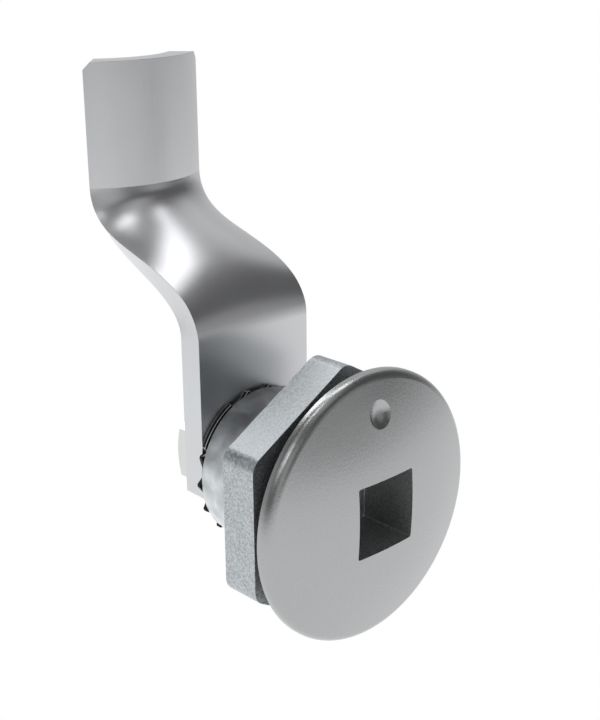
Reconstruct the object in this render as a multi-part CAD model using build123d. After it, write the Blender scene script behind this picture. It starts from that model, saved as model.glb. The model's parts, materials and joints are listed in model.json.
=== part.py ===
"""Quarter-turn cam latch with a domed head, an 8 mm square key socket and a cranked cam.

Millimetres. The turning axis is Y: the head faces -Y and the cam lies behind, at +Y.
+Z is up, and the cam points up at rest. The origin is on the axis, in the plane where the
mounting nut's front face meets the panel seal, which is where the panel sits.
"""
import os
from math import cos, pi, radians, sin, tan

from build123d import *

# Head: a domed disc and its spindle, turned as one piece
head_radius = 14.95
head_dome_radius = 48.0
head_rim_thickness = 1.56
head_edge_round = 1.2
head_rear_chamfer = 0.3
socket_width = 8.0
socket_corner = 0.25
socket_depth = 6.85
dimple_radius = 1.53
dimple_depth = 0.5
dimple_height_z = 10.85
spindle_radius = 6.6
tang_width = 8.0
tang_corner = 0.6
tang_shortfall = 0.2

# Quarter-turn stop: a lug on the spindle swings in a pocket in the flange
stop_lug_rise = 1.0
stop_lug_length = 2.2
stop_lug_angle = 50.0
stop_clearance_angle = 1.0
turn_angle = 90.0

# Housing: flange, threaded barrel and one flat that keeps it from turning in the panel
flange_radius = 12.2
flange_thickness = 1.1
flange_edge = 0.25
barrel_radius = 8.7
barrel_length = 13.58
barrel_flat_depth = 0.9
barrel_edge = 0.12

# Seals
panel_seal_radius = 12.4
panel_seal_thickness = 1.0
ring_groove_depth = 1.3
ring_groove_width = 1.9
ring_groove_y = 7.0

# Mounting nut
nut_across_flats = 26.2
nut_thickness = 4.6
nut_corner_round = 1.8
nut_bore_chamfer = 0.5

# Toothed washer between the barrel and the cam
washer_sheet = 0.47
washer_root_radius = 8.2
washer_tip_radius = 8.88
washer_teeth = 15
washer_tooth_pitch = 21.3
washer_first_tooth = 161.5
washer_tip_half = 1.0
washer_steep_flank = 4.0
washer_slow_flank = 8.0
washer_lobe_start = 117.5
washer_lobe_end = 154.5
washer_lobe_flank = 1.0

# Cam: pressed from flat strip, cranked back and arched across its width
cam_thickness = 3.0
cam_half_width = 7.98
cam_end_drop = 7.6
cam_shoulder_drop = 2.3
cam_end_slope = 40.0
crank_start_z = 15.65
crank_end_z = 29.7
crank_offset = 15.45
crank_start_pull = 24.8
crank_end_pull = 11.6
crank_stations = 12
arch_angle = 42.0
arch_lead = 0.91
tongue_top_z = 43.7
tongue_corner = 0.9

# Cam bolt and its toothed lock washer
bolt_radius = 3.0
bolt_length = 12.0
bolt_across_flats = 10.0
bolt_head_height = 4.0
bolt_tip_chamfer = 0.6
bolt_chamfer_angle = 30.0
bolt_hole_spare = 1.0
lock_ring_inner = 3.2
lock_ring_outer = 4.3
lock_ring_sheet = 0.6
lock_teeth = 10
lock_tooth_radius = 5.5
lock_tooth_width = 1.4
lock_tooth_twist = 25.0

# Clearances
turning_clearance = 0.05
face_clearance = 0.1
thread_clearance = 0.05
square_clearance = 0.05
seal_clearance = 0.05
seat_clearance = 0.02
washer_bore_clearance = 0.25
stop_radial_clearance = 0.1

# Places along the axis, from the panel seal's rear face at zero
flange_rear = -panel_seal_thickness
flange_front = flange_rear - flange_thickness
head_rear = flange_front - face_clearance
head_dome_drop = head_dome_radius - (head_dome_radius**2 - head_radius**2) ** 0.5
head_front = head_rear - head_rim_thickness - head_dome_drop
barrel_end = barrel_length
washer_front = barrel_end + turning_clearance
cam_front = washer_front + washer_sheet + seat_clearance
cam_rear = cam_front + cam_thickness
tang_end = cam_rear - tang_shortfall
lock_height = (lock_ring_sheet * cos(radians(lock_tooth_twist))
               + lock_tooth_width * sin(radians(lock_tooth_twist)))
bolt_seat = cam_rear + lock_height + 2 * seat_clearance
bolt_end = bolt_seat - bolt_length
bore_radius = spindle_radius + turning_clearance
ring_groove_radius = spindle_radius - ring_groove_depth
stop_lug_radius = spindle_radius + stop_lug_rise


def turned(points):
    """Solid of revolution about the Y axis from (radius, y) corners."""
    return revolve(make_face(Polyline(*points, close=True)), Axis.Y)


def post(radius, y_low, y_high):
    """Round bar along the Y axis."""
    return turned([(0, y_low), (radius, y_low), (radius, y_high), (0, y_high)])


def square_post(width, corner, y_low, y_high):
    """Square bar along the Y axis with rounded corners."""
    outline = Plane.XZ.offset(-y_low) * RectangleRounded(width, width, corner)
    return extrude(outline, amount=-(y_high - y_low))


def ring_sector(inner, outer, y_low, y_high, start, end):
    """Part of a flat ring between two angles, measured from +X towards +Z, under 180 degrees apart."""
    middle = (start + end) / 2

    def at(radius, angle):
        return (radius * cos(radians(angle)), radius * sin(radians(angle)))

    outline = [
        Line(at(inner, start), at(outer, start)),
        ThreePointArc(at(outer, start), at(outer, middle), at(outer, end)),
        Line(at(outer, end), at(inner, end)),
        ThreePointArc(at(inner, end), at(inner, middle), at(inner, start)),
    ]
    # The sketch plane looks along -Y, so its X is the part's X and its Y is the part's Z
    face = Plane.XZ.offset(-y_low) * make_face(outline)
    return extrude(face, amount=-(y_high - y_low))


def hexagonal(across_flats, y_low, y_high):
    """Hexagonal bar along the Y axis with two corners up and down."""
    corner_radius = across_flats / 2 / cos(pi / 6)
    outline = Plane.XZ.offset(-y_low) * RegularPolygon(corner_radius, 6, rotation=30)
    return extrude(outline, amount=-(y_high - y_low))


def dome_y(radius):
    """Height of the head's dome at a radius."""
    drop = head_dome_radius - (head_dome_radius**2 - radius**2) ** 0.5
    return head_front + drop


def make_head():
    """Domed disc, spindle, square socket, position dimple, stop lug, seal groove and tang."""
    rim = head_radius - head_rear_chamfer
    half = head_radius / 2
    profile = [
        ThreePointArc((0, head_front), (half, dome_y(half)), (head_radius, dome_y(head_radius))),
        Polyline(
            (head_radius, dome_y(head_radius)),
            (head_radius, head_rear - head_rear_chamfer),
            (rim, head_rear),
            (spindle_radius, head_rear),
            (spindle_radius, ring_groove_y),
            (ring_groove_radius, ring_groove_y),
            (ring_groove_radius, ring_groove_y + ring_groove_width),
            (spindle_radius, ring_groove_y + ring_groove_width),
            (spindle_radius, cam_front),
            (0, cam_front),
            (0, head_front),
        ),
    ]
    body = revolve(make_face(profile), Axis.Y)
    circles = body.edges().filter_by(GeomType.CIRCLE)
    rims = circles.filter_by(lambda edge: abs(edge.radius - head_radius) < 0.001)
    body = fillet(rims.sort_by(Axis.Y)[0], head_edge_round)
    body += square_post(tang_width, tang_corner, cam_front, tang_end)
    body += ring_sector(
        spindle_radius - 1, stop_lug_radius, head_rear - 0.5, head_rear + stop_lug_length,
        90, 90 + stop_lug_angle,
    )
    socket_mouth = dome_y(socket_width / 2**0.5)
    body -= square_post(socket_width, socket_corner, head_front - 1, socket_mouth + socket_depth)
    body -= post(bolt_radius + seat_clearance, bolt_end - bolt_hole_spare, tang_end + 1)
    body -= dimple_ball()
    return body


def dimple_ball():
    """Ball that cuts the round dimple which shows the way the cam points.

    Its centre stands off the dome, on the line from the dome's own centre through the dimple.
    """
    ball_radius = (dimple_radius**2 + dimple_depth**2) / (2 * dimple_depth)
    lip_distance = (head_dome_radius**2 - dimple_radius**2) ** 0.5
    distance = lip_distance - dimple_depth + ball_radius
    rise = dimple_height_z / head_dome_radius
    run = (1 - rise**2) ** 0.5
    return Pos(0, head_front + head_dome_radius - distance * run, distance * rise) * Sphere(ball_radius)


def make_housing():
    """Flanged barrel with its bore, stop pocket and anti-turn flat."""
    body = turned([
        (bore_radius, flange_front),
        (flange_radius - flange_edge, flange_front),
        (flange_radius, flange_front + flange_edge),
        (flange_radius, flange_rear),
        (barrel_radius, flange_rear),
        (barrel_radius, barrel_end - barrel_edge),
        (barrel_radius - barrel_edge, barrel_end),
        (bore_radius, barrel_end),
    ])
    flat = Box(2 * flange_radius, barrel_end - flange_rear + 1, flange_radius)
    flat_top = -(barrel_radius - barrel_flat_depth)
    body -= Pos(0, (flange_rear + barrel_end + 1) / 2, flat_top - flange_radius / 2) * flat
    pocket_start = 90 - turn_angle - stop_clearance_angle
    pocket_end = 90 + stop_lug_angle + stop_clearance_angle
    body -= ring_sector(
        bore_radius - 1, stop_lug_radius + stop_radial_clearance, flange_front - 1,
        head_rear + stop_lug_length + face_clearance, pocket_start, pocket_end,
    )
    return body


def make_panel_seal():
    """Flat rubber ring that lies between the flange and the panel."""
    inner = barrel_radius + thread_clearance
    return turned([
        (inner, flange_rear),
        (panel_seal_radius, flange_rear),
        (panel_seal_radius, 0),
        (inner, 0),
    ])


def make_spindle_ring():
    """Rubber ring in the spindle's groove."""
    thickness = bore_radius - ring_groove_radius - seal_clearance - seat_clearance
    centre = ring_groove_radius + seat_clearance + thickness / 2
    section = Pos(centre, ring_groove_y + ring_groove_width / 2) * Circle(thickness / 2)
    return revolve(section, Axis.Y)


def make_nut():
    """Thin hexagon nut with rounded corners and a bore chamfered at both ends."""
    bore = barrel_radius + thread_clearance
    mouth = bore + nut_bore_chamfer
    outline = RegularPolygon(nut_across_flats / 2 / cos(pi / 6), 6, rotation=30)
    outline = fillet(outline.vertices(), nut_corner_round)
    blank = extrude(Plane.XZ * outline, amount=-nut_thickness)
    return blank - turned([
        (0, -1), (mouth, -1), (mouth, 0), (bore, nut_bore_chamfer),
        (bore, nut_thickness - nut_bore_chamfer), (mouth, nut_thickness),
        (mouth, nut_thickness + 1), (0, nut_thickness + 1),
    ])


def make_toothed_washer():
    """Flat washer with saw teeth round its rim and one wide lobe."""
    inner = spindle_radius + washer_bore_clearance

    def at(radius, angle):
        return (radius * cos(radians(angle)), radius * sin(radians(angle)))

    def tooth(start, tip_start, tip_end, end):
        tip = ThreePointArc(
            at(washer_tip_radius, tip_start),
            at(washer_tip_radius, (tip_start + tip_end) / 2),
            at(washer_tip_radius, tip_end),
        )
        flanks = Polyline(
            at(washer_tip_radius, tip_end), at(washer_root_radius, end),
            at(inner + 0.5, end), at(inner + 0.5, start),
            at(washer_root_radius, start), at(washer_tip_radius, tip_start),
        )
        return make_face([tip, flanks])

    outline = Circle(washer_root_radius) - Circle(inner)
    for number in range(washer_teeth):
        middle = washer_first_tooth + number * washer_tooth_pitch
        tip_start = middle - washer_tip_half
        tip_end = middle + washer_tip_half
        outline += tooth(
            tip_start - washer_steep_flank, tip_start, tip_end, tip_end + washer_slow_flank,
        )
    outline += tooth(
        washer_lobe_start - washer_lobe_flank, washer_lobe_start,
        washer_lobe_end, washer_lobe_end + washer_lobe_flank,
    )
    # The sketch plane looks along -Y, so its X is the part's X and its Y is the part's Z
    return extrude(Plane.XZ.offset(-washer_front) * outline, amount=-washer_sheet)


def crank_station(share):
    """Place, direction and arch angle of the strip at a share of the way along the crank.

    The middle of the strip's front face follows a smooth curve that leaves the base and
    meets the tongue straight up. The arch grows in the same smooth way.
    """
    rise = crank_end_z - crank_start_z
    blend = 3 * share**2 - 2 * share**3
    blend_rate = 6 * share - 6 * share**2
    y = cam_front + crank_offset * blend
    z = (crank_start_z + rise * blend
         + crank_start_pull * (share**3 - 2 * share**2 + share)
         + crank_end_pull * (share**3 - share**2))
    y_rate = crank_offset * blend_rate
    z_rate = (rise * blend_rate
              + crank_start_pull * (3 * share**2 - 4 * share + 1)
              + crank_end_pull * (3 * share**2 - 2 * share))
    lead = share**arch_lead
    angle = arch_angle * (3 * lead**2 - 2 * lead**3)
    return Vector(0, y, z), Vector(0, y_rate, z_rate), radians(angle)


def strip_section(share):
    """Cross-section of the strip, square to its path, with its width held as it arches."""
    origin, direction, angle = crank_station(share)
    plane = Plane(origin=origin, x_dir=(1, 0, 0), z_dir=direction)
    if angle < radians(0.01):
        outline = Polyline(
            (-cam_half_width, 0), (cam_half_width, 0),
            (cam_half_width, cam_thickness), (-cam_half_width, cam_thickness),
            close=True,
        )
        return plane * make_face(outline)
    front_radius = cam_half_width / sin(angle)
    rear_radius = front_radius - cam_thickness

    def at(radius, turn):
        return (radius * sin(turn), front_radius - radius * cos(turn))

    outline = [
        ThreePointArc(at(front_radius, -angle), at(front_radius, 0), at(front_radius, angle)),
        Line(at(front_radius, angle), at(rear_radius, angle)),
        ThreePointArc(at(rear_radius, angle), at(rear_radius, 0), at(rear_radius, -angle)),
        Line(at(rear_radius, -angle), at(front_radius, -angle)),
    ]
    return plane * make_face(outline)


def make_cam():
    """Flat base with a square hole, lofted crank and arched tongue, all from one strip."""
    end_half = cam_half_width - (cam_end_drop - cam_shoulder_drop) / tan(radians(cam_end_slope))
    base_outline = Polyline(
        (-cam_half_width, crank_start_z), (-cam_half_width, -cam_shoulder_drop),
        (-end_half, -cam_end_drop), (end_half, -cam_end_drop),
        (cam_half_width, -cam_shoulder_drop), (cam_half_width, crank_start_z),
        close=True,
    )
    base = extrude(Plane.XZ.offset(-cam_front) * make_face(base_outline), amount=-cam_thickness)
    hole = tang_width + 2 * square_clearance
    base -= square_post(hole, tang_corner, cam_front - 1, cam_rear + 1)
    sections = [strip_section(number / crank_stations) for number in range(crank_stations + 1)]
    crank = loft(sections)
    tongue = extrude(sections[-1], amount=tongue_top_z - crank_end_z, dir=(0, 0, 1))
    top_edges = tongue.edges().filter_by(GeomType.LINE).group_by(Axis.Z)[-1]
    tongue = chamfer(top_edges, tongue_corner)
    return base + crank + tongue


def make_lock_washer():
    """Toothed lock washer, each tooth twisted about its own radius."""
    middle = cam_rear + seat_clearance + lock_height / 2
    half = lock_ring_sheet / 2
    ring = turned([
        (lock_ring_inner, middle - half), (lock_ring_outer, middle - half),
        (lock_ring_outer, middle + half), (lock_ring_inner, middle + half),
    ])
    root = lock_ring_inner + 0.3
    tooth = Box(lock_tooth_radius - root, lock_ring_sheet, lock_tooth_width)
    tooth = Pos((lock_tooth_radius + root) / 2, 0, 0) * Rot(lock_tooth_twist, 0, 0) * tooth
    for number in range(lock_teeth):
        ring += Pos(0, middle, 0) * Rot(0, number * 360 / lock_teeth, 0) * tooth
    return ring


def make_bolt():
    """Hexagon bolt that holds the cam on the spindle's tang."""
    head_end = bolt_seat + bolt_head_height
    flat_radius = bolt_across_flats / 2
    corner_radius = flat_radius / cos(pi / 6)
    drop = (corner_radius - flat_radius) * tan(radians(bolt_chamfer_angle))
    envelope = turned([
        (0, bolt_seat), (corner_radius, bolt_seat), (corner_radius, head_end - drop),
        (flat_radius, head_end), (0, head_end),
    ])
    head = envelope & hexagonal(bolt_across_flats, bolt_seat, head_end)
    shank = turned([
        (0, bolt_end), (bolt_radius - bolt_tip_chamfer, bolt_end),
        (bolt_radius, bolt_end + bolt_tip_chamfer), (bolt_radius, bolt_seat + 0.5),
        (0, bolt_seat + 0.5),
    ])
    return head + shank


pieces = {
    "head_spindle": make_head,
    "barrel_housing": make_housing,
    "panel_seal": make_panel_seal,
    "spindle_seal_ring": make_spindle_ring,
    "mounting_nut": make_nut,
    "toothed_washer": make_toothed_washer,
    "cam": make_cam,
    "lock_washer": make_lock_washer,
    "cam_bolt": make_bolt,
}

os.makedirs("parts", exist_ok=True)
for name, make in pieces.items():
    export_step(make(), f"parts/{name}.step")
    print(name)
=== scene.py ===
"""Looks for the quarter-turn cam latch: finishes for its steel and rubber, studio and camera."""

import json
from math import atan2, cos, degrees, hypot, radians, sin

import bpy
from bpy.props import FloatProperty, FloatVectorProperty, PointerProperty
from mathutils import Matrix, Vector
from mathutils.bvhtree import BVHTree
from mathutils.interpolate import poly_3d_calc


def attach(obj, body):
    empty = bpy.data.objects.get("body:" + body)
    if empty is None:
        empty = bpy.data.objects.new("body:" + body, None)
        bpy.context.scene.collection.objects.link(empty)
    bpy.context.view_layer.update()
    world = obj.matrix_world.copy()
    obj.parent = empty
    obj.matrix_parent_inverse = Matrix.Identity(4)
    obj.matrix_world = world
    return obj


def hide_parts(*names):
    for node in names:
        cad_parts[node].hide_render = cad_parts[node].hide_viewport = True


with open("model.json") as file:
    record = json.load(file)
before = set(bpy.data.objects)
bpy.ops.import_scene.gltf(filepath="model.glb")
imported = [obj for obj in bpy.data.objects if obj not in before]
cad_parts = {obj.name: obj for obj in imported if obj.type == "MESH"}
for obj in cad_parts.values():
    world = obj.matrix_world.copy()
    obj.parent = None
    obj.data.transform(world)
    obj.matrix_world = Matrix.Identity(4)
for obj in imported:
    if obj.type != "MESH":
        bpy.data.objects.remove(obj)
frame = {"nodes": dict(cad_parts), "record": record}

bl_info = {
    "name": "Quarter-turn cam latch",
    "version": (1, 0, 0),
    "blender": (4, 5, 0),
    "location": "View3D > Sidebar > Latch",
    "description": "Finishes the pieces of a quarter-turn cam latch and sets its studio",
    "category": "Object",
}

MM = 0.001

# Points of a copied solid that lie closer together than this are one point
MERGE = 0.0005 * MM

# Angles in degrees. Faces that meet within FLAT are joined, an edge past EASED is rounded,
# and the shading breaks along an edge past SHARP
FLAT = 0.05
EASED = 28.0
SHARP = 24.0

# A corner whose normal is this near the solid's, in degrees, lies on the same surface.
# It is looked up a little way in, as a share of the way to the middle of its face
SAME_FACE = 20.0
INWARDS = 0.05

# Mould line round the disc's rim: its place along the axis, half its width and its depth
LINE_PLACE = -2.79 * MM
LINE_HALF = 0.08 * MM
LINE_DEPTH = 0.07 * MM

# A point is on the line if it lies this near its plane, past this share of the disc's radius
LINE_TOUCH = 0.001 * MM
RIM_SHARE = 0.98

# Square key socket: half its side with a hair over, and along the axis the places where its
# corners with a painted highlight start and between which its floor lies
SOCKET_REACH = 4.02 * MM
SOCKET_MOUTH = -5.3 * MM
FLOOR_FRONT = 0.9 * MM
FLOOR_BACK = 1.2 * MM

# Part of a face's normal along the axis: less than this on the socket's walls, and more than
# this on its floor
WALL_FACING = 0.2
FLOOR_FACING = 0.9

# Slots of the head's three finishes; the third is a painted highlight on the socket's corners
DISC_SLOT = 0
SOCKET_SLOT = 1
CORNER_HIGHLIGHT_SLOT = 2

# Slots of the washers' two finishes, and the angles about the axis, in degrees, between
# which their edges get a painted highlight
BLACK_SLOT = 0
EDGE_HIGHLIGHT_SLOT = 1
HIGHLIGHT_FROM = 55.0
HIGHLIGHT_TO = 160.0

# Soft windows of the studio: azimuth, elevation and half width in degrees, and strength
WINDOWS = (
    (106, 69, 9, 2.6),
    (124, 67, 10, 2.4),
    (145, 67, 10, 2.8),
    (166, 60, 10, 2.0),
    (176, 47, 13, 4.3),
    (-114, 73, 6, 3.2),
    (-108, 82, 8, 4.6),
    (-90, 40, 22, 1.0),
    (-72, 42, 9, 3.0),
    (150, 10, 65, 0.62),
    (113, 43, 18, 0.35),
    (-36, 20, 28, 0.5),
    (-135, 10, 32, 0.3),
    (0, 70, 22, 0.5),
    (90, 2, 20, 0.2),
    (28, 10, 24, 0.33),
    (-160, 12, 26, 0.3),
)

# Share of a window's half width that is evenly bright
WINDOW_CORE = 0.35

# Square floor: its side, and the distances from its middle between which its light falls off
FLOOR_SIDE = 8.0
FLOOR_FADE = (250 * MM, 550 * MM)

# Darker patch on the floor: its middle, the distances between which it fades away, and the
# share of the floor's light that is left in it
PATCH_MIDDLE = (300 * MM, -500 * MM, 0.0)
PATCH_FADE = (60 * MM, 320 * MM)
PATCH_LIGHT = 0.2

# Long side of the camera's picture, in millimetres
SENSOR = 36.0

WHITE = (1.0, 1.0, 1.0, 1.0)


def colour(name, description, default):
    """A colour that a user may change, without alpha."""
    return FloatVectorProperty(
        name=name, description=description, default=default,
        min=0.0, max=1.0, size=3, subtype="COLOR",
    )


def length(name, description, default):
    """A length in the scene's unit, metres."""
    return FloatProperty(
        name=name, description=description, default=default, min=0.0,
        unit="LENGTH", subtype="DISTANCE", precision=5,
    )


def turn(name, description, default):
    """An angle that the camera is set to, from degrees."""
    return FloatProperty(
        name=name, description=description, default=radians(default),
        unit="ROTATION", subtype="ANGLE",
    )


def brightness(name, description, default):
    """A strength of light, from none upwards."""
    return FloatProperty(name=name, description=description, default=default, min=0.0)


class LatchFinishes(bpy.types.PropertyGroup):
    """Colours and edge sizes of the latch's pieces."""

    head_colour: colour("Head", "Cast steel of the disc and spindle", (0.348, 0.353, 0.357))
    barrel_colour: colour("Barrel", "Turned steel of the flanged barrel", (0.52, 0.546, 0.562))
    nut_colour: colour("Nut", "Speckled steel of the mounting nut", (0.4, 0.425, 0.44))
    cam_colour: colour("Cam", "Stainless strip of the cam", (0.54, 0.545, 0.56))
    # Near black: partly the washers' black oxide and partly painted shade between barrel and cam
    washer_colour: colour("Washers", "Blackened steel and painted shade of the washers", (0.012, 0.012, 0.013))
    # Painted highlight: near-white steel for the washers' upper edges and the socket's corners
    edge_highlight_colour: colour("Edge highlights", "Painted highlight on the washers' upper edges and the socket's corners", (0.95, 0.95, 0.95))
    bolt_colour: colour("Bolt", "Bright steel of the cam bolt", (0.55, 0.56, 0.55))
    seal_colour: colour("Seals", "Black rubber of the seals", (0.012, 0.012, 0.012))
    cast_edge: length("Cast edge", "Rounding of the head's edges", 0.08 * MM)
    cut_edge: length("Cut edge", "Rounding of turned and milled edges", 0.08 * MM)
    washer_edge: length("Washer edge", "Rounding of the washers' edges", 0.12 * MM)
    sheet_edge: length("Sheet edge", "Rounding of the cam's edges", 0.18 * MM)


class LatchStudio(bpy.types.PropertyGroup):
    """Place of the camera and strength of the studio's lights."""

    camera_place: FloatVectorProperty(
        name="Camera", description="Where the camera stands",
        default=(-0.08987, -0.08772, 0.0598), size=3,
        unit="LENGTH", subtype="TRANSLATION",
    )
    azimuth: turn("Azimuth", "Camera's turn about the vertical", -43.526)
    elevation: turn("Elevation", "Camera's height angle above the horizon", 19.433)
    roll: turn("Roll", "Camera's turn about its own line of sight", -0.436)
    lens: FloatProperty(
        name="Lens", description="Focal length in millimetres for a 36 mm long side",
        default=64.73, min=1.0,
    )
    floor_drop: length("Floor", "How far the floor lies below the turning axis", 60 * MM)
    floor_near: brightness("Floor near", "Brightness of the floor under the latch", 1.06)
    floor_far: brightness("Floor far", "Brightness of the floor at a distance", 0.62)
    light: brightness("Light", "Strength of the floor and all the windows together", 1.0)
    room: brightness("Room", "Brightness of the room between its windows", 0.145)


def settle():
    """Leaves edit mode and deselects everything."""
    if bpy.context.object and bpy.context.object.mode != "OBJECT":
        bpy.ops.object.mode_set(mode="OBJECT")
    bpy.ops.object.select_all(action="DESELECT")


def take(piece):
    """Makes a piece the only one selected."""
    settle()
    piece.select_set(True)
    bpy.context.view_layer.objects.active = piece


def body_of_node(node):
    """Name of the body that a node rides on."""
    for body, members in frame["record"]["behaviour"]["bodies"].items():
        if node in members:
            return body
    raise RuntimeError(f"no body has {node}")


def eased_copy(node, name, width, edge_slot=-1, detail=None):
    """The node's own solid with its corners eased, so that they catch the light.

    The eased strips take their material from edge_slot, where one is given. The function
    given as detail works on the eased mesh before it is smoothed.
    """
    source = frame["nodes"][node]
    piece = bpy.data.objects.new(name, source.data.copy())
    bpy.context.scene.collection.objects.link(piece)
    piece.data.name = name
    take(piece)
    bpy.ops.mesh.customdata_custom_splitnormals_clear()
    bpy.ops.object.mode_set(mode="EDIT")
    bpy.ops.mesh.select_all(action="SELECT")
    bpy.ops.mesh.remove_doubles(threshold=MERGE)
    bpy.ops.mesh.dissolve_limited(angle_limit=radians(FLAT))
    bpy.ops.object.mode_set(mode="OBJECT")
    while len(piece.data.materials) <= edge_slot:
        piece.data.materials.append(None)
    ease = piece.modifiers.new("Eased edges", "BEVEL")
    ease.width = width
    ease.segments = 3
    ease.limit_method = "ANGLE"
    ease.angle_limit = radians(EASED)
    ease.material = edge_slot
    bpy.ops.object.modifier_apply(modifier=ease.name)
    if detail:
        detail(piece)
    bpy.ops.object.shade_smooth_by_angle(angle=radians(SHARP))
    even = piece.modifiers.new("Even normals", "WEIGHTED_NORMAL")
    even.mode = "FACE_AREA"
    even.keep_sharp = True
    bpy.ops.object.modifier_apply(modifier=even.name)
    keep_normals(piece.data, source.data)
    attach(piece, body_of_node(node))
    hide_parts(node)
    return piece


def keep_normals(mesh, solid):
    """Gives the faces that easing left in place the solid's own exact normals."""
    places = [vertex.co for vertex in solid.vertices]
    faces = [tuple(face.vertices) for face in solid.polygons]
    exact = [corner.vector for corner in solid.corner_normals]
    tree = BVHTree.FromPolygons(places, faces)
    normals = [corner.vector.copy() for corner in mesh.corner_normals]
    for face in mesh.polygons:
        for corner in face.loop_indices:
            vertex = mesh.vertices[mesh.loops[corner].vertex_index]
            nearest, _, index, _ = tree.find_nearest(vertex.co.lerp(face.center, INWARDS))
            shares = poly_3d_calc([places[number] for number in faces[index]], nearest)
            found = Vector((0.0, 0.0, 0.0))
            for share, number in zip(shares, solid.polygons[index].loop_indices):
                found += share * exact[number]
            if found.normalized().dot(normals[corner]) > cos(radians(SAME_FACE)):
                normals[corner] = found.normalized()
    mesh.normals_split_custom_set(normals)


def feed(tree, value, socket):
    """Sets a node's input to plain numbers, or links it to another node's output."""
    if isinstance(value, (int, float, tuple)):
        socket.default_value = value
    else:
        tree.links.new(value, socket)


def math_node(tree, operation, *values):
    """The result of a math node whose inputs are sockets or plain numbers."""
    node = tree.nodes.new("ShaderNodeMath")
    node.operation = operation
    for value, socket in zip(values, node.inputs):
        feed(tree, value, socket)
    return node.outputs["Value"]


def ranged(tree, value, source=(0.0, 1.0), result=(0.0, 1.0), smooth=False):
    """Carries a value from one range over to another, whose ends are numbers or sockets."""
    node = tree.nodes.new("ShaderNodeMapRange")
    if smooth:
        node.interpolation_type = "SMOOTHSTEP"
    tree.links.new(value, node.inputs["Value"])
    ends = {"From Min": source[0], "From Max": source[1], "To Min": result[0], "To Max": result[1]}
    for label, end in ends.items():
        feed(tree, end, node.inputs[label])
    return node.outputs["Result"]


def noise(tree, place, detail):
    """A noise texture over the given coordinates."""
    node = tree.nodes.new("ShaderNodeTexNoise")
    node.inputs["Detail"].default_value = detail
    tree.links.new(place, node.inputs["Vector"])
    return node


def vector_node(tree, operation, *values):
    """A vector math node whose inputs are sockets or plain numbers."""
    node = tree.nodes.new("ShaderNodeVectorMath")
    node.operation = operation
    for value, socket in zip(values, node.inputs):
        feed(tree, value, socket)
    return node


def new_group(name, inputs, outputs):
    """An empty shader node group with its sockets, and its two end nodes."""
    group = bpy.data.node_groups.new(name, "ShaderNodeTree")
    for label, value in inputs.items():
        kind = "NodeSocketVector" if isinstance(value, tuple) else "NodeSocketFloat"
        socket = group.interface.new_socket(label, in_out="INPUT", socket_type=kind)
        socket.default_value = value
    for label in outputs:
        group.interface.new_socket(label, in_out="OUTPUT", socket_type="NodeSocketFloat")
    start = group.nodes.new("NodeGroupInput")
    end = group.nodes.new("NodeGroupOutput")
    return group, start, end


def grain_group():
    """Fine pits and bumps of a blasted or cast surface."""
    group, start, end = new_group(
        "Grain", {"Scale": 5000.0, "Roughness": 0.6}, ("Height", "Speckle"),
    )
    place = group.nodes.new("ShaderNodeTexCoord").outputs["Object"]
    grains = noise(group, place, detail=3.0)
    group.links.new(start.outputs["Scale"], grains.inputs["Scale"])
    group.links.new(start.outputs["Roughness"], grains.inputs["Roughness"])
    cells = group.nodes.new("ShaderNodeTexVoronoi")
    cells.feature = "SMOOTH_F1"
    group.links.new(place, cells.inputs["Vector"])
    cell_scale = math_node(group, "MULTIPLY", start.outputs["Scale"], 0.6)
    group.links.new(cell_scale, cells.inputs["Scale"])
    height = math_node(group, "ADD", grains.outputs["Fac"], cells.outputs["Distance"])
    group.links.new(height, end.inputs["Height"])
    speckle = ranged(group, grains.outputs["Fac"], source=(0.38, 0.62))
    group.links.new(speckle, end.inputs["Speckle"])


def cloud_group():
    """Soft patches some millimetres across, as on handled or tumbled steel."""
    group, start, end = new_group(
        "Clouds", {"Scale": 180.0, "Low": 0.0, "High": 1.0}, ("Value",),
    )
    place = group.nodes.new("ShaderNodeTexCoord").outputs["Object"]
    clouds = noise(group, place, detail=2.0)
    clouds.inputs["Distortion"].default_value = 0.4
    group.links.new(start.outputs["Scale"], clouds.inputs["Scale"])
    ends = (start.outputs["Low"], start.outputs["High"])
    value = ranged(group, clouds.outputs["Fac"], source=(0.3, 0.7), result=ends)
    group.links.new(value, end.inputs["Value"])


def brushing_group():
    """Fine streaks along one direction, left by a belt on sheet metal."""
    group, start, end = new_group(
        "Brushing", {"Stretch": (5000.0, 5000.0, 160.0)}, ("Height", "Streak"),
    )
    place = group.nodes.new("ShaderNodeTexCoord").outputs["Object"]
    stretched = vector_node(group, "MULTIPLY", place, start.outputs["Stretch"])
    streaks = noise(group, stretched.outputs["Vector"], detail=2.0)
    streaks.inputs["Scale"].default_value = 1.0
    group.links.new(streaks.outputs["Fac"], end.inputs["Height"])
    streak = ranged(group, streaks.outputs["Fac"], source=(0.35, 0.65))
    group.links.new(streak, end.inputs["Streak"])


def window_group():
    """A soft round window in the studio's room, bright in the middle and fading to its edge."""
    upwards = (0.0, 0.0, 1.0)
    group, start, end = new_group(
        "Window",
        {"Direction": upwards, "Towards": upwards, "Edge": 0.9, "Core": 0.98, "Strength": 1.0},
        ("Value",),
    )
    angle = vector_node(
        group, "DOT_PRODUCT", start.outputs["Direction"], start.outputs["Towards"],
    )
    glow = ranged(
        group, angle.outputs["Value"], source=(start.outputs["Edge"], start.outputs["Core"]),
        result=(0.0, start.outputs["Strength"]), smooth=True,
    )
    group.links.new(glow, end.inputs["Value"])


def placed(tree, name, **values):
    """A copy of a shared group in a material or the room, with its own values."""
    makers = {
        "Grain": grain_group, "Clouds": cloud_group,
        "Brushing": brushing_group, "Window": window_group,
    }
    if name not in bpy.data.node_groups:
        makers[name]()
    node = tree.nodes.new("ShaderNodeGroup")
    node.node_tree = bpy.data.node_groups[name]
    for label, value in values.items():
        node.inputs[label].default_value = value
    return node


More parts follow.
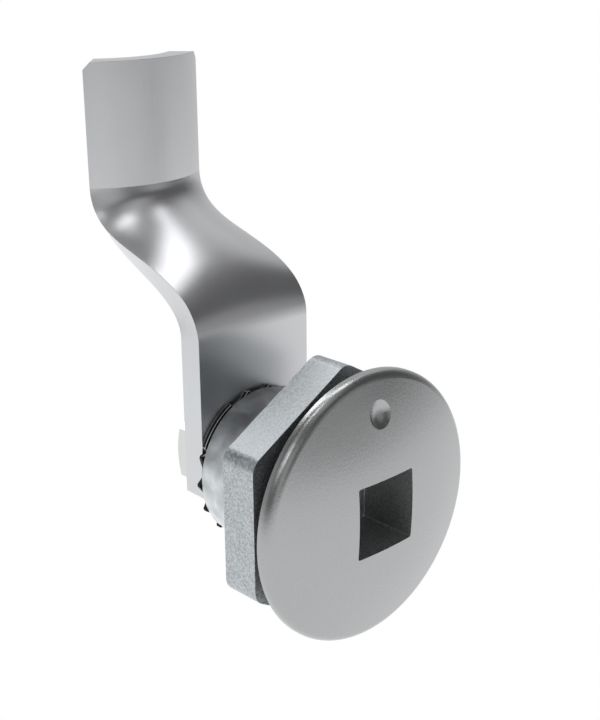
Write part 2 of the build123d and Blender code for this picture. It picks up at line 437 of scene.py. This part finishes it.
def tone(tree, mask, dark, light):
    """A colour that goes from dark to light with a mask."""
    ramp = tree.nodes.new("ShaderNodeValToRGB")
    ramp.color_ramp.elements[0].color = (*dark, 1.0)
    ramp.color_ramp.elements[1].color = (*light, 1.0)
    tree.links.new(mask, ramp.inputs["Fac"])
    return ramp.outputs["Color"]


def shaded(base, factor):
    """A colour made darker or lighter by a factor."""
    return tuple(min(1.0, part * factor) for part in base)


def new_material(name):
    """A material with its node tree and its shader."""
    material = bpy.data.materials.new(name)
    material.use_nodes = True
    tree = material.node_tree
    return material, tree, tree.nodes["Principled BSDF"]


def roughen(tree, shader, height, strength, depth):
    """Lets a surface's grain or brushing stand out in the light, up to a depth."""
    relief = tree.nodes.new("ShaderNodeBump")
    relief.inputs["Strength"].default_value = strength
    relief.inputs["Distance"].default_value = depth
    tree.links.new(height, relief.inputs["Height"])
    tree.links.new(relief.outputs["Normal"], shader.inputs["Normal"])


def metal(name, base, roughness, patches, tone_change, bump, depth=0.01 * MM,
          grain=None, speckle=0.0, brushing=None, streaks=0.0):
    """A steel finish, either grained or brushed. Roughness is a (low, high) pair.

    The colour varies by tone_change in soft patches, and by speckle in the grain or by
    streaks along the brushing.
    """
    material, tree, shader = new_material(name)
    shader.inputs["Metallic"].default_value = 1.0
    cloud = placed(tree, "Clouds", Scale=patches)
    if brushing:
        surface = placed(tree, "Brushing", Stretch=brushing)
        mark = surface.outputs["Streak"]
        mark_change = streaks
    else:
        surface = placed(tree, "Grain", Scale=grain)
        mark = surface.outputs["Speckle"]
        mark_change = speckle
    total = tone_change + mark_change
    soft = math_node(tree, "MULTIPLY", cloud.outputs["Value"], tone_change / total)
    fine = math_node(tree, "MULTIPLY", mark, mark_change / total)
    mask = math_node(tree, "ADD", soft, fine)
    tint = tone(tree, mask, shaded(base, 1.0 - total), shaded(base, 1.0 + total))
    tree.links.new(tint, shader.inputs["Base Color"])
    tree.links.new(ranged(tree, mask, result=roughness), shader.inputs["Roughness"])
    roughen(tree, shader, surface.outputs["Height"], bump, depth)
    return material


def dress(piece, material, *others):
    """Gives a piece one material all over, and further ones for the faces that ask for them."""
    chosen = [face.material_index for face in piece.data.polygons]
    piece.data.materials.clear()
    for finish in (material, *others):
        piece.data.materials.append(finish)
    if others:
        for face, slot in zip(piece.data.polygons, chosen):
            face.material_index = slot


def direction(azimuth, elevation):
    """Unit vector at a turn from the front about the vertical, and a height angle."""
    return (
        sin(azimuth) * cos(elevation),
        -cos(azimuth) * cos(elevation),
        sin(elevation),
    )


class LATCH_OT_head(bpy.types.Operator):
    """Finish the domed disc, its socket and its spindle as fine cast steel"""

    bl_idname = "latch.head"
    bl_label = "Head and spindle"

    def execute(self, context):
        finishes = context.scene.latch_finishes
        piece = eased_copy(
            "head_spindle", "domed_head", finishes.cast_edge,
            edge_slot=CORNER_HIGHLIGHT_SLOT, detail=self.score_rim,
        )
        steel = metal(
            "Cast steel", finishes.head_colour, (0.26, 0.31),
            patches=160.0, tone_change=0.01, grain=6000.0, speckle=0.02,
            bump=0.42, depth=0.015 * MM,
        )
        # Rougher cast steel inside the socket, with painted light: a lighter copy of the head's
        # colour brightens the shade in the recess
        rough_and_lightened = metal(
            "Rough cast steel, painted lighter", shaded(finishes.head_colour, 1.15), (0.5, 0.6),
            patches=300.0, tone_change=0.06, grain=4200.0, speckle=0.2,
            bump=0.4, depth=0.03 * MM,
        )
        # Painted highlight: near-white steel on the socket's eased corners, standing in for light
        # caught there
        corner = metal(
            "Socket corner highlight", finishes.edge_highlight_colour, (0.3, 0.4),
            patches=900.0, tone_change=0.05, grain=7000.0, speckle=0.05, bump=0.08,
        )
        self.mark_socket(piece)
        dress(piece, steel, rough_and_lightened, corner)
        return {"FINISHED"}

    def score_rim(self, piece):
        """Fine line round the disc's edge, where the two halves of its mould met."""
        radius = max(vertex.co.x for vertex in piece.data.vertices)
        take(piece)
        bpy.ops.object.mode_set(mode="EDIT")
        for place in (LINE_PLACE - LINE_HALF, LINE_PLACE, LINE_PLACE + LINE_HALF):
            bpy.ops.mesh.select_all(action="SELECT")
            bpy.ops.mesh.bisect(plane_co=(0, place, 0), plane_no=(0, 1, 0))
        bpy.ops.mesh.select_all(action="DESELECT")
        bpy.ops.mesh.select_mode(type="VERT")
        bpy.ops.object.mode_set(mode="OBJECT")
        for vertex in piece.data.vertices:
            x, y, z = vertex.co
            on_line = abs(y - LINE_PLACE) < LINE_TOUCH
            vertex.select = on_line and hypot(x, z) > radius * RIM_SHARE
        bpy.ops.object.mode_set(mode="EDIT")
        share = 1.0 - LINE_DEPTH / radius
        bpy.ops.transform.resize(
            value=(share, 1.0, share), center_override=(0, LINE_PLACE, 0),
        )
        bpy.ops.object.mode_set(mode="OBJECT")

    def mark_socket(self, piece):
        """The socket's walls and floor are as cast, rougher than the disc and painted a little
        lighter to brighten the shade inside; its corners get a painted highlight.
        """
        for face in piece.data.polygons:
            x, y, z = face.center
            inside = abs(x) < SOCKET_REACH and abs(z) < SOCKET_REACH and y < FLOOR_BACK
            wall = abs(face.normal.y) < WALL_FACING
            floor = face.normal.y < -FLOOR_FACING and y > FLOOR_FRONT
            # The painted highlight stays only on the eased corners inside the socket
            if face.material_index == CORNER_HIGHLIGHT_SLOT:
                if not (inside and y > SOCKET_MOUTH):
                    face.material_index = DISC_SLOT
            elif inside and (wall or floor):
                face.material_index = SOCKET_SLOT


class LATCH_OT_barrel(bpy.types.Operator):
    """Finish the flanged barrel as smooth turned steel"""

    bl_idname = "latch.barrel"
    bl_label = "Barrel"

    def execute(self, context):
        finishes = context.scene.latch_finishes
        piece = eased_copy("barrel_housing", "flanged_barrel", finishes.cut_edge)
        steel = metal(
            "Turned steel", finishes.barrel_colour, (0.28, 0.4),
            patches=420.0, tone_change=0.25, grain=6000.0, speckle=0.03, bump=0.05,
        )
        dress(piece, steel)
        return {"FINISHED"}


class LATCH_OT_nut(bpy.types.Operator):
    """Finish the mounting nut with its speckled, tumbled surface"""

    bl_idname = "latch.nut"
    bl_label = "Mounting nut"

    def execute(self, context):
        finishes = context.scene.latch_finishes
        piece = eased_copy("mounting_nut", "hexagon_nut", finishes.cut_edge)
        steel = metal(
            "Speckled steel", finishes.nut_colour, (0.34, 0.5),
            patches=420.0, tone_change=0.05, grain=3800.0, speckle=0.27,
            bump=0.2, depth=0.02 * MM,
        )
        dress(piece, steel)
        return {"FINISHED"}


class LATCH_OT_seals(bpy.types.Operator):
    """Finish the panel seal and the spindle's ring as matt rubber"""

    bl_idname = "latch.seals"
    bl_label = "Rubber seals"

    def execute(self, context):
        base = context.scene.latch_finishes.seal_colour
        rubber, tree, shader = new_material("Black rubber")
        grain = placed(tree, "Grain", Scale=3500.0)
        tint = tone(tree, grain.outputs["Speckle"], shaded(base, 0.8), shaded(base, 1.4))
        tree.links.new(tint, shader.inputs["Base Color"])
        shader.inputs["Roughness"].default_value = 0.7
        roughen(tree, shader, grain.outputs["Height"], strength=0.3, depth=0.02 * MM)
        for node in ("panel_seal", "spindle_seal_ring"):
            dress(frame["nodes"][node], rubber)
        return {"FINISHED"}


class LATCH_OT_washers(bpy.types.Operator):
    """Finish the toothed washers as blackened spring steel, dark enough to stand in for shade,
    with a painted highlight along their upper edges
    """

    bl_idname = "latch.washers"
    bl_label = "Toothed washers"

    def execute(self, context):
        finishes = context.scene.latch_finishes
        # Black oxide finish, dark enough that it also stands in for the shade between barrel and
        # cam
        black_and_shade = metal(
            "Blackened steel and painted shade", finishes.washer_colour, (0.4, 0.5),
            patches=600.0, tone_change=0.1, grain=7000.0, speckle=0.1, bump=0.08,
        )
        oxide = black_and_shade.node_tree.nodes["Principled BSDF"]
        oxide.inputs["Metallic"].default_value = 0.0
        oxide.inputs["Specular IOR Level"].default_value = 0.15
        # Painted highlight: near-white steel on the washers' eased edges, standing in for light
        # caught on them
        edge_highlight = metal(
            "Painted edge highlight", finishes.edge_highlight_colour, (0.3, 0.4),
            patches=900.0, tone_change=0.1, grain=7000.0, speckle=0.1, bump=0.08,
        )
        names = {"toothed_washer": "barrel_washer", "lock_washer": "bolt_washer"}
        for node, name in names.items():
            piece = eased_copy(
                node, name, finishes.washer_edge, edge_slot=EDGE_HIGHLIGHT_SLOT, detail=self.limit_edge_highlight,
            )
            dress(piece, black_and_shade, edge_highlight)
        return {"FINISHED"}

    def limit_edge_highlight(self, piece):
        """Leaves the black on the edges outside the upper arc, so that the painted highlight lies
        only along the top, where the light catches them.
        """
        for face in piece.data.polygons:
            # Only the upper arc keeps the painted highlight
            angle = degrees(atan2(face.center.z, face.center.x))
            if not HIGHLIGHT_FROM < angle < HIGHLIGHT_TO:
                face.material_index = BLACK_SLOT


class LATCH_OT_cam(bpy.types.Operator):
    """Finish the cranked cam as stainless sheet, faintly brushed along its length"""

    bl_idname = "latch.cam"
    bl_label = "Cam"

    def execute(self, context):
        finishes = context.scene.latch_finishes
        piece = eased_copy("cam", "cranked_cam", finishes.sheet_edge)
        steel = metal(
            "Stainless sheet", finishes.cam_colour, (0.3, 0.34),
            patches=120.0, tone_change=0.02, brushing=(3200.0, 3200.0, 130.0), streaks=0.008,
            bump=0.015,
        )
        dress(piece, steel)
        return {"FINISHED"}


class LATCH_OT_bolt(bpy.types.Operator):
    """Finish the bolt that holds the cam"""

    bl_idname = "latch.bolt"
    bl_label = "Cam bolt"

    def execute(self, context):
        finishes = context.scene.latch_finishes
        piece = eased_copy("cam_bolt", "hexagon_bolt", finishes.cut_edge)
        steel = metal(
            "Bright steel", finishes.bolt_colour, (0.22, 0.34),
            patches=300.0, tone_change=0.03, grain=6000.0, speckle=0.02, bump=0.06,
        )
        dress(piece, steel)
        return {"FINISHED"}


class LATCH_OT_studio(bpy.types.Operator):
    """Set the pale floor, the room with its soft windows, and the camera"""

    bl_idname = "latch.studio"
    bl_label = "Studio"

    def execute(self, context):
        studio = context.scene.latch_studio
        self.floor(studio)
        self.world(context, studio)
        self.camera(context, studio)
        context.scene.view_settings.view_transform = "Standard"
        return {"FINISHED"}

    def floor(self, studio):
        """Pale glowing floor that dims with distance, with one darker patch to the front."""
        settle()
        bpy.ops.mesh.primitive_plane_add(size=FLOOR_SIDE, location=(0, 0, -studio.floor_drop))
        floor = bpy.context.object
        floor.name = "pale_floor"
        paint, tree, shader = new_material("Pale floor")
        shader.inputs["Base Color"].default_value = (0.25, 0.25, 0.25, 1.0)
        shader.inputs["Roughness"].default_value = 1.0
        shader.inputs["Emission Color"].default_value = WHITE
        shader.inputs["Specular IOR Level"].default_value = 0.0
        place = tree.nodes.new("ShaderNodeTexCoord").outputs["Object"]
        distance = vector_node(tree, "LENGTH", place)
        levels = (studio.floor_near * studio.light, studio.floor_far * studio.light)
        fade = ranged(tree, distance.outputs["Value"], FLOOR_FADE, levels, smooth=True)
        offset = vector_node(tree, "DISTANCE", place, PATCH_MIDDLE)
        patch = ranged(tree, offset.outputs["Value"], PATCH_FADE, (PATCH_LIGHT, 1.0), smooth=True)
        glow = math_node(tree, "MULTIPLY", fade, patch)
        tree.links.new(glow, shader.inputs["Emission Strength"])
        floor.visible_camera = False
        dress(floor, paint)

    def world(self, context, studio):
        """Dark room with soft windows for the steel to reflect, shown plain to the camera."""
        world = bpy.data.worlds.new("Studio air")
        context.scene.world = world
        world.use_nodes = True
        tree = world.node_tree
        place = tree.nodes.new("ShaderNodeTexCoord").outputs["Generated"]
        total = studio.room * studio.light
        for azimuth, elevation, width, strength in WINDOWS:
            window = placed(
                tree, "Window",
                Towards=direction(radians(azimuth), radians(elevation)),
                Edge=cos(radians(width)),
                Core=cos(radians(width * WINDOW_CORE)),
                Strength=strength * studio.light,
            )
            tree.links.new(place, window.inputs["Direction"])
            total = math_node(tree, "ADD", window.outputs["Value"], total)
        room = tree.nodes["Background"]
        room.inputs["Color"].default_value = WHITE
        tree.links.new(total, room.inputs["Strength"])
        backdrop = tree.nodes.new("ShaderNodeBackground")
        backdrop.inputs["Color"].default_value = WHITE
        ray = tree.nodes.new("ShaderNodeLightPath")
        choice = tree.nodes.new("ShaderNodeMixShader")
        tree.links.new(ray.outputs["Is Camera Ray"], choice.inputs["Fac"])
        tree.links.new(room.outputs["Background"], choice.inputs[1])
        tree.links.new(backdrop.outputs["Background"], choice.inputs[2])
        tree.links.new(choice.outputs["Shader"], tree.nodes["World Output"].inputs["Surface"])

    def camera(self, context, studio):
        """Camera on the front left, above the latch and turned down towards it."""
        back = Vector(direction(studio.azimuth, studio.elevation))
        right = Vector((cos(studio.azimuth), sin(studio.azimuth), 0.0))
        up = back.cross(right)
        turn_right = right * cos(studio.roll) + up * sin(studio.roll)
        turn_up = up * cos(studio.roll) - right * sin(studio.roll)
        axes = Matrix((turn_right, turn_up, back)).transposed()
        settle()
        bpy.ops.object.camera_add(location=studio.camera_place)
        camera = bpy.context.object
        camera.name = "Photo view"
        camera.rotation_euler = axes.to_euler()
        camera.data.lens = studio.lens
        camera.data.sensor_width = SENSOR
        camera.data.clip_start = 0.01
        camera.data.clip_end = 20.0
        context.scene.camera = camera


class LATCH_PT_panel(bpy.types.Panel):
    """Lists the latch's finishes and its studio"""

    bl_idname = "LATCH_PT_panel"
    bl_label = "Latch"
    bl_space_type = "VIEW_3D"
    bl_region_type = "UI"
    bl_category = "Latch"

    def draw(self, context):
        layout = self.layout
        for group in (context.scene.latch_finishes, context.scene.latch_studio):
            box = layout.box()
            for name in group.__annotations__:
                box.prop(group, name)
        for operator in OPERATORS:
            layout.operator(operator.bl_idname)


OPERATORS = (
    LATCH_OT_head,
    LATCH_OT_barrel,
    LATCH_OT_nut,
    LATCH_OT_seals,
    LATCH_OT_washers,
    LATCH_OT_cam,
    LATCH_OT_bolt,
    LATCH_OT_studio,
)
CLASSES = (LatchFinishes, LatchStudio, *OPERATORS, LATCH_PT_panel)


def register():
    """Makes the latch's settings, operators and panel known to Blender."""
    for cls in CLASSES:
        bpy.utils.register_class(cls)
    bpy.types.Scene.latch_finishes = PointerProperty(type=LatchFinishes)
    bpy.types.Scene.latch_studio = PointerProperty(type=LatchStudio)


def unregister():
    """Takes them away again, in the opposite order."""
    del bpy.types.Scene.latch_studio
    del bpy.types.Scene.latch_finishes
    for cls in reversed(CLASSES):
        bpy.utils.unregister_class(cls)


def main():
    """Builds the scene."""
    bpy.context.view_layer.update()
    register()
    bpy.ops.latch.head()
    bpy.ops.latch.barrel()
    bpy.ops.latch.nut()
    bpy.ops.latch.seals()
    bpy.ops.latch.washers()
    bpy.ops.latch.cam()
    bpy.ops.latch.bolt()
    bpy.ops.latch.studio()
    bpy.context.view_layer.update()


if __name__ == "__main__":
    main()
